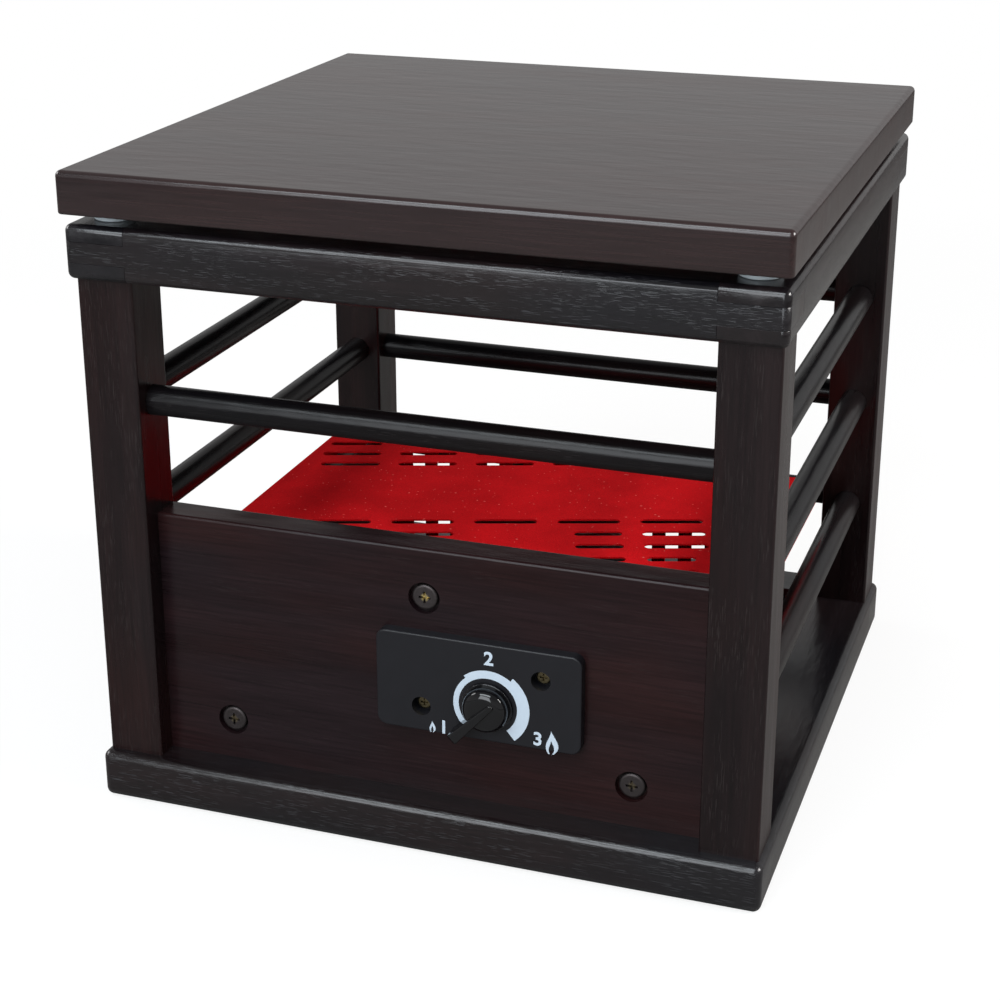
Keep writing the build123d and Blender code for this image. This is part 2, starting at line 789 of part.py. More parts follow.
def round_screw(turn, x, y, z):
    """A small pan-headed sheet screw whose head seats at (x, y, z); its tip points up before the turn."""
    head = Pos(0, 0, -small_screw_head_height / 2)
    head = head * Cylinder(small_screw_head_diameter / 2, small_screw_head_height)
    rim = head.edges().filter_by(GeomType.CIRCLE).sort_by(Axis.Z)[0]
    head = fillet(rim, 0.35 * small_screw_head_height)
    shank = Pos(0, 0, small_screw_length / 2) * Cylinder(small_screw_diameter / 2, small_screw_length)
    cross = Box(small_cross_size, small_cross_width, 2 * small_cross_depth)
    cross = cross + Box(small_cross_width, small_cross_size, 2 * small_cross_depth)
    screw = head + shank - Pos(0, 0, -small_screw_head_height) * cross
    return Pos(x, y, z) * turn * screw


def make_guard_screws():
    """Two screws through the guard's back into the tray's lip."""
    return [round_screw(Rot(90, 0, 0), x, guard_back, z) for x, z in guard_screw_points]


def make_cord_bush():
    """The bush that the supply cord passes through, with a flange at each face of the guard's back."""
    bush = rod_y(cord_bush_diameter / 2, tray_back, guard_back, bush_x, bush_z)
    outer = guard_back + cord_flange_thickness
    inner = tray_back - cord_flange_thickness
    bush = bush + rod_y(cord_flange_diameter / 2, guard_back, outer, bush_x, bush_z)
    bush = bush + rod_y(cord_flange_diameter / 2, inner, tray_back, bush_x, bush_z)
    return bush - rod_y(cord_bore / 2, inner - 1, outer + 1, bush_x, bush_z)


# ---- Heater tray ----
def make_tray():
    """A folded tray that stands on the base floor and hangs on the panel by its front."""
    t = tray_gauge
    tray = block(-tray_half_x, tray_half_x, panel_back, tray_back, tray_bottom, tray_floor)
    for side in (-1, 1):
        x0, x1 = sorted((side * tray_half_x, side * (tray_half_x - t)))
        tray = tray + block(x0, x1, panel_back, tray_back, tray_bottom, guard_under)
    front_top = tray_bottom + tray_front_height
    tray = tray + block(-tray_half_x, tray_half_x, panel_back, panel_back + t, tray_bottom, front_top)
    lip_top = tray_bottom + tray_lip_height
    bush_room = cord_flange_diameter / 2 + cord_flange_room
    for x0, x1 in ((-tray_half_x, bush_x - bush_room), (bush_x + bush_room, tray_half_x)):
        tray = tray + block(x0, x1, tray_back - t, tray_back, tray_bottom, lip_top)
    for x, z in low_screws:
        tray = tray - rod_y(panel_hole_diameter / 2, panel_back - 1, panel_back + t + 1, x, z)
    for x, z in guard_screw_points:
        tray = tray - rod_y(small_screw_diameter / 2 + fit_gap, tray_back - t - 1, tray_back + 1, x, z)
    for x, y in tray_screw_points:
        tray = tray - rod_z(small_screw_diameter / 2 + fit_gap, tray_bottom - 1, tray_floor + 1, x, y)
    return tray


def make_tray_screws():
    """Four screws up through the base floor into the tray."""
    return [round_screw(Rot(0, 0, 0), x, y, floor_lift) for x, y in tray_screw_points]


# ---- Heating unit, modelled along X about its own middle and turned with the slots ----
def in_heater(*solids):
    """Solids of the heating unit, put at their place in the table."""
    place = Pos(heater_x, heater_y, 0) * Rot(0, 0, slot_angle)
    return [place * solid for solid in solids]


def make_shield():
    """The flat shield under the plain band of the guard, and the spacers it hangs from."""
    half_x = shield_length / 2
    half_y = shield_width / 2
    shield = block(-half_x, half_x, -half_y, half_y, shield_under, shield_top)
    shield = fillet(shield.edges().filter_by(Axis.Z), shield_corner_radius)
    spacers = []
    for sx, sy in corners:
        x = sx * (half_x - spacer_inset)
        y = sy * (half_y - spacer_inset)
        spacers.append(rod_z(spacer_diameter / 2, shield_top, guard_under, x, y))
    return in_heater(shield), in_heater(*spacers)


def make_terminal_case():
    """A sheet box open below, hung under the shield, with the terminal block and thermal fuse in it."""
    hx = case_length / 2
    hy = case_width / 2
    w = case_wall
    box = block(-hx, hx, case_shift - hy, case_shift + hy, case_low, shield_under)
    inner = block(-hx + w, hx - w, case_shift - hy + w, case_shift + hy - w, case_low - 1, shield_under - w)
    top = shield_under - w
    tx = terminal_length / 2
    y0 = case_shift - hy + w
    block_solid = block(-tx, tx, y0, y0 + terminal_width, top - terminal_height, top)
    terminal_y = y0 + terminal_width / 2
    low = top - terminal_height
    for place in (terminal_inner_hole, terminal_outer_hole):
        for x in (-place, place):
            hole = rod_z(terminal_hole / 2, low - 1, low + terminal_height / 2, x, terminal_y)
            block_solid = block_solid - hole
    fuse_y = case_shift + hy - w - fuse_diameter / 2
    fuse = rod_x(fuse_diameter / 2, -fuse_length / 2, fuse_length / 2, fuse_y, top - fuse_diameter / 2)
    return in_heater(box - inner), in_heater(block_solid), in_heater(fuse)


def make_reflector():
    """A winged trough under the tube, and the two bent brackets that stand it on the tray."""
    t = tray_gauge
    half = reflector_floor / 2
    slope = degrees(atan2(reflector_wing_rise, reflector_wing))
    lower = [
        (-half - reflector_wing, reflector_under + reflector_wing_rise),
        (-half, reflector_under),
        (half, reflector_under),
        (half + reflector_wing, reflector_under + reflector_wing_rise),
    ]
    rise = t / cos(radians(slope))
    bend = t * (1 - cos(radians(slope))) / sin(radians(slope))
    upper = [
        (half + reflector_wing, reflector_under + reflector_wing_rise + rise),
        (half - bend, reflector_top),
        (-half + bend, reflector_top),
        (-half - reflector_wing, reflector_under + reflector_wing_rise + rise),
    ]
    outline = make_face(Polyline(*lower, *upper, close=True))
    trough = extrude(Plane.YZ * outline, reflector_length / 2, both=True)
    brackets = []
    for side in (-1, 1):
        x = side * (reflector_length / 2 - bracket_inset)
        x0 = x - bracket_width / 2
        x1 = x + bracket_width / 2
        plate = block(x0, x1, -half, half, reflector_under - t, reflector_under)
        for wall in (-1, 1):
            y0, y1 = sorted((wall * half, wall * (half - t)))
            plate = plate + block(x0, x1, y0, y1, tray_floor, reflector_under)
            y0, y1 = sorted((wall * half, wall * (half - bracket_width)))
            plate = plate + block(x0, x1, y0, y1, tray_floor, tray_floor + t)
        brackets.append(plate)
    return in_heater(trough), in_heater(*brackets)


def make_element():
    """A coil in a glass tube, held at both ends by ceramic sockets that stand on the reflector."""
    half = tube_length / 2
    tube = rod_x(tube_diameter / 2, -half, half, 0, tube_z)
    tube = tube - rod_x(tube_diameter / 2 - tube_wall, -half - 1, half + 1, 0, tube_z)
    coil = rod_x(coil_diameter / 2, -half, half, 0, tube_z)
    sockets = []
    for side in (-1, 1):
        seat = side * (half - socket_depth)
        x0, x1 = sorted((seat, seat + side * socket_length))
        y = socket_size / 2
        socket = block(x0, x1, -y, y, reflector_top, tube_z + socket_size / 2)
        recess = rod_x(tube_diameter / 2 + fit_gap, -half - fit_gap, half + fit_gap, 0, tube_z)
        sockets.append(socket - recess)
    return in_heater(tube), in_heater(coil), in_heater(*sockets)


# ---- Leads ----
def lead(*points):
    """A round insulated wire along straight runs joined by arcs."""
    radii = []
    for before, here, after in zip(points, points[1:], points[2:]):
        run_in = (Vector(*here) - Vector(*before)).length
        run_out = (Vector(*after) - Vector(*here)).length
        radii.append(min(4 * lead_diameter, 0.3 * min(run_in, run_out)))
    path = FilletPolyline(*points, radius=radii)
    section = Plane(origin=path @ 0, z_dir=path % 0) * Circle(lead_diameter / 2)
    return sweep(section, path=path)


def heater_point(x, y, z):
    """A point of the heating unit's own frame, in the table's frame."""
    return (*slanted(heater_x, heater_y, x, y), z)


def make_leads():
    """The wires from the regulator to the terminal block, and from it to both sockets of the tube."""
    terminal_y = case_shift - case_width / 2 + case_wall + terminal_width / 2
    entry = shield_under - case_wall - terminal_height
    unit_lead_z = dial_z - unit_height / 6
    tube_lead_z = tube_z + socket_size / 4
    socket_x = tube_length / 2 - socket_depth + socket_length / 2
    wires = []
    for side in (-1, 1):
        inner = side * terminal_inner_hole
        outer = side * terminal_outer_hole
        unit_x = dial_x + side * unit_width / 4
        wires.append(
            lead(
                (unit_x, unit_back, unit_lead_z),
                (unit_x, unit_back + lead_straight, unit_lead_z),
                heater_point(inner, terminal_y, unit_lead_z),
                heater_point(inner, terminal_y, entry),
            )
        )
        wires.append(
            lead(
                heater_point(side * socket_x, -socket_size / 2, tube_lead_z),
                heater_point(side * socket_x, -lead_detour, tube_lead_z),
                heater_point(outer, -lead_detour, tube_lead_z),
                heater_point(outer, terminal_y, tube_lead_z),
                heater_point(outer, terminal_y, entry),
            )
        )
    return wires


# ---- Write every node ----
rungs = make_rungs()
screws, nuts = make_panel_screws()
unit, bush_nut = make_control_unit()
shield, spacers = make_shield()
case, terminal, fuse = make_terminal_case()
reflector, brackets = make_reflector()
tube, coil, sockets = make_element()

save("table_top", make_board())
save("top_pads", *make_pads())
for name, rail in make_frame().items():
    save(name, rail)
for name, post in make_posts(rungs).items():
    save(name, post)
for name, rung in rungs.items():
    save(name, rung)
for name, piece in make_base().items():
    save(name, piece)
save("base_dowels", *base_dowels())
save("panel_dowels", *panel_dowels())
save("frame_screws", *[frame_screw(sx, sy) for sx, sy in corners])
save("base_screws", *[base_screw(sx, sy) for sx, sy in corners])
save("front_panel", make_panel())
save("panel_screws", *screws)
save("panel_nuts", *nuts)
save("control_plate", make_plate())
save("plate_screws", *make_plate_screws())
save("control_unit", unit)
save("control_nut", bush_nut)
save("control_shaft", make_shaft())
save("control_knob", make_knob())
save("heater_guard", make_guard())
save("guard_screws", *make_guard_screws())
save("cord_bush", make_cord_bush())
save("heater_tray", make_tray())
save("tray_screws", *make_tray_screws())
save("heat_shield", *shield)
save("shield_spacers", *spacers)
save("terminal_case", *case)
save("terminal_block", *terminal)
save("thermal_fuse", *fuse)
save("reflector", *reflector)
save("reflector_brackets", *brackets)
save("heater_tube", *tube)
save("heater_coil", *coil)
save("heater_sockets", *sockets)
save("heater_leads", *make_leads())
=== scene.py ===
import json
import math

import bmesh
import bpy
import numpy as np
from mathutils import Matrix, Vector


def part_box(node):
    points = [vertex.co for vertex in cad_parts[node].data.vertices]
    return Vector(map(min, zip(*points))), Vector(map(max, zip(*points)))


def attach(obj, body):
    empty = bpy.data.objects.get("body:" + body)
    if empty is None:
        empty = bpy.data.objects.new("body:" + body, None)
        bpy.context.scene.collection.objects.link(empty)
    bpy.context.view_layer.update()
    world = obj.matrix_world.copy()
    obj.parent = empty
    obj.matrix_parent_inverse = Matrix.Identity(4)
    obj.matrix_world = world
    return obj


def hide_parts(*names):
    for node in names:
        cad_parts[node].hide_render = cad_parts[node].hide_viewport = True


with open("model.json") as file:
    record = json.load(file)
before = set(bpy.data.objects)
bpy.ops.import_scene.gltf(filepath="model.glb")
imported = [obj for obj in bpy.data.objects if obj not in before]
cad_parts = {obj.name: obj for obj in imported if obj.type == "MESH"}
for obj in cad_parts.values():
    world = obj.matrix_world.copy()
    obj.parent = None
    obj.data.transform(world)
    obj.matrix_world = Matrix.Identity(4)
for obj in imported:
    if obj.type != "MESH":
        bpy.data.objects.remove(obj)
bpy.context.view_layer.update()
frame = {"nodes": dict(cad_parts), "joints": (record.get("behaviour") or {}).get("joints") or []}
nodes = frame["nodes"]


# ---- Base frame ----
# Four square rails of dark-stained open-pored wood lie flat on the floor: the front and back ones run
# the full width and the side ones are dowelled between them. The lacquer is thin, so the pores show; their
# lit lips are painted as pale specks of highlight and their pits as black painted shade.
def node(tree, kind, inputs=(), **settings):
    """A shader node with its settings; its inputs are values, or sockets that get linked."""
    made = tree.nodes.new(kind)
    for name, value in settings.items():
        setattr(made, name, value)
    for name, value in dict(inputs).items():
        if isinstance(value, bpy.types.NodeSocket):
            tree.links.new(value, made.inputs[name])
        else:
            made.inputs[name].default_value = value
    return made


def surface(name, constants):
    """A new material with one shader whose constant sockets are set, its tree and that shader."""
    material = bpy.data.materials.new(name)
    material.use_nodes = True
    tree = material.node_tree
    shader = tree.nodes["Principled BSDF"]
    for socket, value in constants.items():
        shader.inputs[socket].default_value = value
    return material, tree, shader


def ranged(tree, value, low, high, to_low, to_high):
    """The value carried linearly from one range to another, and held at its ends."""
    inputs = {"Value": value, "From Min": low, "From Max": high, "To Min": to_low, "To Max": to_high}
    return node(tree, "ShaderNodeMapRange", inputs).outputs["Result"]


def mixed(tree, share, first, second):
    """The first colour turning into the second by the share."""
    return node(tree, "ShaderNodeMix", {0: share, 6: first, 7: second}, data_type="RGBA").outputs[2]


def worked_out(tree, operation, *values):
    """One number worked out from the values by an operation of the Math node."""
    return node(tree, "ShaderNodeMath", dict(enumerate(values)), operation=operation).outputs[0]


def product(tree, first, second):
    """Two values multiplied."""
    return worked_out(tree, "MULTIPLY", first, second)


def scaled(tree, colour, share):
    """The colour made lighter or darker by the share."""
    return node(tree, "ShaderNodeVectorMath", {0: colour, "Scale": share}, operation="SCALE").outputs[0]


def bumped(tree, height, strength, distance, under=None):
    """The normal of a bump of that height, laid over another bump where one is given."""
    inputs = {"Height": height, "Strength": strength, "Distance": distance}
    if under is not None:
        inputs["Normal"] = under
    return node(tree, "ShaderNodeBump", inputs).outputs[0]


shift_way = (1.0, 0.7, 0.4)


def stretched_noise(tree, axis, stretch, scale, detail, shift):
    """Noise over the piece's own coordinates, drawn out along the grain's axis and shifted aslant."""
    place = node(tree, "ShaderNodeTexCoord").outputs["Object"]
    sizes = [1.0, 1.0, 1.0]
    sizes["XYZ".index(axis)] = 1.0 / stretch
    location = [part * shift for part in shift_way]
    inputs = {"Vector": place, "Location": location, "Scale": sizes}
    mapped = node(tree, "ShaderNodeMapping", inputs).outputs[0]
    inputs = {"Vector": mapped, "Scale": scale, "Detail": detail}
    return node(tree, "ShaderNodeTexNoise", inputs).outputs["Fac"]


# Each pair is the noise, or the facing, at which a change starts and ends
noise_span = (0.3, 0.7)
band_span = (0.35, 0.68)
tint_span = (0.4, 0.62)
# The span at which pale specks show: partly the pores' own colour, partly painted highlight on lips that
# catch the light
pale_pore_and_highlight_span = (0.67, 0.75)
# The span at which pits turn black with painted shade
shaded_pit_span = (0.33, 0.25)
cluster_span = (0.46, 0.62)
end_grain_span = (0.3, 0.7)
top_face_span = (0.6, 0.95)
under_face_span = (-0.7, -0.2)
# How much clusters spread with more pores, the pores left on top faces, and the changes of gloss
cluster_spread = 0.2
top_face_pores = 0.25
band_gloss = (-0.05, 0.06)
# Shades of fibres and stain, the black of the painted shade in pits, and the depths of what is raised or sunk
fibre_shades = (0.72, 1.25)
cool_stain = (0.85, 0.95, 1.05, 1.0)
warm_stain = (1.28, 0.94, 0.88, 1.0)
pit_shade_black = (0.0, 0.0, 0.0, 1.0)
fibre_height = 0.4
grain_depth = 0.00012
grain_strength = 0.35
lacquer_ripple = 0.00016


def stain_colour(tree, axis, shift, bands, fibres, dark, light, figure):
    """Bands from dark to light under finely shaded fibres, with broad patches that are redder or cooler."""
    weak, strong = 0.5 - 0.5 * figure, 0.5 + 0.5 * figure
    tone = mixed(tree, ranged(tree, bands, *band_span, weak, strong), dark, light)
    tone = scaled(tree, tone, ranged(tree, fibres, *noise_span, *fibre_shades))
    patches = stretched_noise(tree, axis, stretch=3.0, scale=22.0, detail=2.0, shift=shift + 4.0)
    tint = mixed(tree, ranged(tree, patches, *tint_span, weak, strong), cool_stain, warm_stain)
    return node(tree, "ShaderNodeVectorMath", {0: tone, 1: tint}, operation="MULTIPLY").outputs[0]


def open_pores(tree, axis, shift, facing, pores):
    """The shares of pale and of dark pore marks: short specks in clusters, on faces that run along the grain.

    The pale specks are partly the pores' own colour and partly painted highlight on lips that catch the
    light; the dark specks are painted shade in the pits. Faces that look up keep only a quarter of them.
    """
    specks = stretched_noise(tree, axis, stretch=19.0, scale=3300.0, detail=0.0, shift=shift + 2.0)
    clusters = stretched_noise(tree, axis, stretch=5.0, scale=150.0, detail=2.0, shift=shift + 3.0)
    end_on = worked_out(tree, "ABSOLUTE", facing.outputs[axis])
    # Faces that look up keep only a quarter of the painted pore marks, which leaves them darker.
    shown = product(
        tree,
        ranged(tree, end_on, *end_grain_span, 1.0, 0.0),
        ranged(tree, facing.outputs["Z"], *top_face_span, 1.0, top_face_pores),
    )
    sparse, full = cluster_span
    clustered = product(tree, ranged(tree, clusters, sparse - cluster_spread * pores, full, 0.0, 1.0), shown)
    return [
        product(tree, product(tree, ranged(tree, specks, *span, 0.0, 1.0), clustered), pores)
        for span in (pale_pore_and_highlight_span, shaded_pit_span)
    ]


def crowned(tree, low, high, reach, drop):
    """Bump of an upright face that falls away as the square of the closeness to its lower or upper edge."""
    place = node(tree, "ShaderNodeTexCoord").outputs["Object"]
    level = node(tree, "ShaderNodeSeparateXYZ", {0: place}).outputs["Z"]
    upper = ranged(tree, level, high - reach, high, 0.0, 1.0)
    lower = ranged(tree, level, low + reach, low, 0.0, 1.0)
    near = worked_out(tree, "ADD", product(tree, upper, upper), product(tree, lower, lower))
    return node(tree, "ShaderNodeBump", {"Height": near, "Distance": drop}, invert=True).outputs[0]


def stained_wood(
    name, axis, shift, dark, light, pore_and_highlight, pores, roughness, specular=0.5, figure=1.0, dull=0.0, crown=None
):
    """Stained wood with its grain along the axis; the shift picks the stretch of grain that shows.

    Pores is how many pores are open, figure how much the bands show in tone and gloss, and dull how much
    rougher the faces are that look down. The lacquer ripples a little over everything. The crown gives
    the levels between which upright faces are rounded off, how far in from them, and how deep.
    """
    material, tree, shader = surface(name, {"Specular IOR Level": specular})
    bands = stretched_noise(tree, axis, stretch=14.0, scale=60.0, detail=3.0, shift=shift)
    fibres = stretched_noise(tree, axis, stretch=30.0, scale=900.0, detail=3.0, shift=shift + 1.0)
    ripple = stretched_noise(tree, axis, stretch=3.0, scale=170.0, detail=1.0, shift=shift + 5.0)
    facing = node(tree, "ShaderNodeSeparateXYZ", {0: node(tree, "ShaderNodeNewGeometry").outputs["Normal"]})
    pale, shaded_pits = open_pores(tree, axis, shift, facing, pores)
    tone = stain_colour(tree, axis, shift, bands, fibres, dark, light, figure)
    # The pale specks carry the pore colour with painted highlight; the pits are darkened to black as painted
    # shade.
    tone = mixed(tree, pale, mixed(tree, shaded_pits, tone, pit_shade_black), pore_and_highlight)
    tree.links.new(tone, shader.inputs["Base Color"])

    glosses = [roughness + change * figure for change in band_gloss]
    gloss = ranged(tree, bands, *noise_span, *glosses)
    below = ranged(tree, facing.outputs["Z"], *under_face_span, dull, 0.0)
    tree.links.new(worked_out(tree, "ADD", gloss, below), shader.inputs["Roughness"])

    raised = ranged(tree, fibres, *noise_span, 0.0, fibre_height)
    height = worked_out(tree, "SUBTRACT", raised, worked_out(tree, "ADD", pale, shaded_pits))
    rounded = crowned(tree, *crown) if crown else None
    rippled = bumped(tree, ripple, 1.0, lacquer_ripple, rounded)
    tree.links.new(bumped(tree, height, grain_strength, grain_depth, rippled), shader.inputs["Normal"])
    return material


def finish_node(name, material):
    """Give a CAD node its finish."""
    materials = nodes[name].data.materials
    materials.clear()
    materials.append(material)


def heights(name):
    """The lowest and highest level of a CAD node."""
    low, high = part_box(name)
    return low.z, high.z


rail_dark = (0.0046, 0.0038, 0.0046, 1.0)
rail_light = (0.0108, 0.0082, 0.0092, 1.0)
# Pale pore colour, partly painted highlight on the pores' lit lips
rail_pore_and_highlight = (0.040, 0.040, 0.044, 1.0)
rail_pores = 0.85
rail_roughness = 0.22
rail_dullness = 0.4
rail_crown_reach = 0.009
rail_crown_drop = 0.0012
rail_grains = {"front": "X", "rear": "X", "left": "Y", "right": "Y"}


def rail_wood(name, rail, grain, shift):
    """The open-pored wood of one rail, crowned between that rail's own levels."""
    return stained_wood(
        name, grain, shift, rail_dark, rail_light, rail_pore_and_highlight, rail_pores, rail_roughness,
        dull=rail_dullness, crown=(*heights(rail), rail_crown_reach, rail_crown_drop),
    )


base_grain_start = 11.0
base_grain_step = 3.7
for number, (side, grain) in enumerate(rail_grains.items()):
    rail = f"base_rail_{side}"
    shift = base_grain_start + base_grain_step * number
    finish_node(rail, rail_wood(f"base_wood_{side}", rail, grain, shift))


# ---- Base floor ----
# A thin sheet of stained plywood slid into the rails' groove, which closes the stand below the heater.
# Its finish is the flat side of the same stain, with a redder face.
floor_dark = (0.016, 0.008, 0.008, 1.0)
floor_light = (0.034, 0.016, 0.014, 1.0)
floor_grain = 5.0
floor_ply = stained_wood(
    "floor_ply", "X", floor_grain, floor_dark, floor_light, rail_pore_and_highlight, pores=0.1, roughness=0.5
)
finish_node("base_floor", floor_ply)


# ---- Dowels and hidden wood screws ----
# Raw beech dowels and zinc-plated screws hold rails, posts and panel together. Only the screw heads
# under the base can be seen.
streak_shade = 0.72
streak_gloss = (-0.06, 0.08)
streak_strength = 0.2
streak_depth = 0.00004


def shaded(colour, share):
    """The colour times the share, with no part above 1."""
    return tuple(min(1.0, share * part) for part in colour[:3]) + (1.0,)


def plain_metal(name, colour, roughness, streak_axis="Z"):
    """Bare or plated metal with fine drawn streaks and slightly uneven polish."""
    material, tree, shader = surface(name, {"Metallic": 1.0})
    streaks = stretched_noise(tree, streak_axis, stretch=12.0, scale=1400.0, detail=2.0, shift=0.0)
    dark = shaded(colour, streak_shade)
    tree.links.new(mixed(tree, streaks, dark, colour), shader.inputs["Base Color"])
    glosses = [roughness + change for change in streak_gloss]
    tree.links.new(ranged(tree, streaks, *noise_span, *glosses), shader.inputs["Roughness"])
    tree.links.new(bumped(tree, streaks, streak_strength, streak_depth), shader.inputs["Normal"])
    return material


beech_dark = (0.42, 0.27, 0.15, 1.0)
beech_light = (0.58, 0.41, 0.25, 1.0)
beech_grain = 2.0
zinc = (0.62, 0.63, 0.62, 1.0)
beech = stained_wood(
    "beech", "Y", beech_grain, beech_dark, beech_light, beech_dark, pores=0.3, roughness=0.6
)
zinc_plate = plain_metal("zinc_plate", zinc, roughness=0.34)
for name in ("base_dowels", "panel_dowels"):
    finish_node(name, beech)
for name in ("frame_screws", "base_screws", "panel_nuts", "guard_screws", "tray_screws"):
    finish_node(name, zinc_plate)


# ---- Posts ----
# Four square posts with softened edges, screwed from above and below. Their grain runs upright and is
# finer than the rails'.
post_dark = (0.0075, 0.0032, 0.0034, 1.0)
post_light = (0.0150, 0.0068, 0.0066, 1.0)
# Pale pore colour, partly painted highlight on the pores' lit lips
post_pore_and_highlight = (0.050, 0.042, 0.040, 1.0)
post_grain_start = 31.0
post_grain_step = 4.3
for number, place in enumerate(("front_left", "front_right", "rear_left", "rear_right")):
    shift = post_grain_start + post_grain_step * number
    wood = stained_wood(
        f"post_wood_{place}", "Z", shift, post_dark, post_light, post_pore_and_highlight,
        pores=0.3, roughness=0.28, specular=0.3,
    )
    finish_node(f"post_{place}", wood)


# ---- Rungs ----
# Turned rungs glued into blind holes in the posts. Their turned faces are smooth, with fewer open pores
# than the square parts.
rung_dark = (0.0035, 0.0030, 0.0034, 1.0)
rung_light = (0.0080, 0.0062, 0.0066, 1.0)
# Pale pore colour, partly painted highlight on the pores' lit lips
rung_pore_and_highlight = (0.05, 0.045, 0.045, 1.0)
rung_grain_start = 51.0
rung_grain_step = 2.9
for number, name in enumerate(sorted(n for n in nodes if n.startswith("rung_"))):
    side = name.split("_")[1]
    shift = rung_grain_start + rung_grain_step * number
    wood = stained_wood(
        f"{name}_wood", rail_grains[side], shift, rung_dark, rung_light, rung_pore_and_highlight,
        pores=0.2, roughness=0.26, specular=0.20, dull=0.4,
    )
    finish_node(name, wood)


# ---- Top frame ----
# Four rails with finger joints at the corners, in the same open-pored wood as the base. Each finger's
# edges are eased a little before gluing, so that a hairline shows at every joint.
merge_distance = 1e-6
flat_angle = 0.05
sharp_angle = 50.0


def eased_copy(name, material, width):
    """A merged copy of a CAD node in that finish, with its sharp edges eased by a small bevel."""
    mesh = nodes[name].data.copy()
    mesh.name = f"{name}_eased"
    work = bmesh.new()
    work.from_mesh(mesh)
    bmesh.ops.remove_doubles(work, verts=work.verts, dist=merge_distance)
    bmesh.ops.dissolve_limit(work, angle_limit=math.radians(flat_angle), verts=work.verts, edges=work.edges)
    work.to_mesh(mesh)
    work.free()
    mesh.materials.clear()
    mesh.materials.append(material)
    piece = bpy.data.objects.new(f"{name}_eased", mesh)
    bpy.context.scene.collection.objects.link(piece)
    bevel = piece.modifiers.new("eased", "BEVEL")
    bevel.width = width
    bevel.segments = 1
    bevel.limit_method = "ANGLE"
    bevel.angle_limit = math.radians(sharp_angle)
    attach(piece, "stand")
    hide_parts(name)


joint_ease = 0.00018
frame_grain_start = 81.0
frame_grain_step = 3.1
for number, (side, grain) in enumerate(rail_grains.items()):
    rail = f"frame_rail_{side}"
    shift = frame_grain_start + frame_grain_step * number
    eased_copy(rail, rail_wood(f"frame_wood_{side}", rail, grain, shift), joint_ease)


# ---- Front panel ----
# One flat board between the front posts that carries the control and the heater. It is stained like
# the rest, but its grain is fine and close and its face a little browner.
panel_dark = (0.0112, 0.0052, 0.0058, 1.0)
panel_light = (0.0175, 0.0086, 0.0094, 1.0)
panel_grain = 101.0
panel_wood = stained_wood(
    "panel_wood", "X", panel_grain, panel_dark, panel_light, post_pore_and_highlight,
    pores=0.12, roughness=0.24, specular=0.2,
)
finish_node("front_panel", panel_wood)


# ---- Panel screws ----
# Three pan-headed cross screws with a dull bronze finish, sunk in round counterbores. Their driver
# recesses are worn to bare brass, the top one most.
bronze = (0.085, 0.074, 0.074, 1.0)
worn_brass = (0.62, 0.50, 0.22, 1.0)
recess_core = 0.0010
recess_reach = 0.0020
head_half = 0.0058
top_wear = 0.8
left_wear = 0.2
right_wear = 0.15
screw_low, screw_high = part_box("panel_screws")
screw_wear = [
    (0.0, screw_high.z - head_half, top_wear),
    (screw_low.x + head_half, screw_low.z + head_half, left_wear),
    (screw_high.x - head_half, screw_low.z + head_half, right_wear),
]


def worn_bronze():
    """Dull bronze whose driver recesses, near each screw's axis, are more or less worn to brass."""
    material = plain_metal("dull_bronze", bronze, roughness=0.5, streak_axis="Y")
    tree = material.node_tree
    shader = tree.nodes["Principled BSDF"]
    place = node(tree, "ShaderNodeTexCoord").outputs["Object"]
    flat = node(tree, "ShaderNodeVectorMath", {0: place, 1: (1.0, 0.0, 1.0)}, operation="MULTIPLY").outputs[0]
    plain = shader.inputs["Base Color"].links[0].from_socket
    worn = 0.0
    for x, z, wear in screw_wear:
        gap = node(tree, "ShaderNodeVectorMath", {0: flat, 1: (x, 0.0, z)}, operation="DISTANCE")
        spot = ranged(tree, gap.outputs["Value"], recess_core, recess_reach, wear, 0.0)
        worn = worked_out(tree, "ADD", spot, worn)
    tree.links.new(mixed(tree, worn, plain, worn_brass), shader.inputs["Base Color"])
    return material


finish_node("panel_screws", worn_bronze())


# ---- Heater tray and the parts inside it ----
# A dark painted tray of sheet steel stands on the base floor. It holds a bright reflector on two
# brackets, a coil in a glass tube between ceramic sockets, and the case of the terminal block.
mottle_coarseness = 0.04
mottle_shades = (0.86, 1.12)
skin_gloss = (-0.04, 0.05)
skin_strength = 0.25


def moulded(name, colour, roughness, grain, depth, specular=0.5):
    """Moulded or painted matter: one colour with faint mottling, and a skin of that grain and depth."""
    material, tree, shader = surface(name, {"Specular IOR Level": specular})
    coarse = mottle_coarseness * grain
    mottle = stretched_noise(tree, "X", stretch=1.0, scale=coarse, detail=3.0, shift=0.0)
    skin = stretched_noise(tree, "X", stretch=1.0, scale=grain, detail=2.0, shift=4.0)
    low, high = [shaded(colour, share) for share in mottle_shades]
    tree.links.new(mixed(tree, mottle, low, high), shader.inputs["Base Color"])
    glosses = [roughness + change for change in skin_gloss]
    tree.links.new(ranged(tree, skin, *noise_span, *glosses), shader.inputs["Roughness"])
    tree.links.new(bumped(tree, skin, skin_strength, depth), shader.inputs["Normal"])
    return material


def mottled(name, low, high, stretch, scale, constants):
    """Smooth matter whose colour drifts softly between two close tones."""
    material, tree, shader = surface(name, constants)
    drift = stretched_noise(tree, "X", stretch, scale, detail=2.0, shift=0.0)
    tree.links.new(mixed(tree, drift, low, high), shader.inputs["Base Color"])
    return material


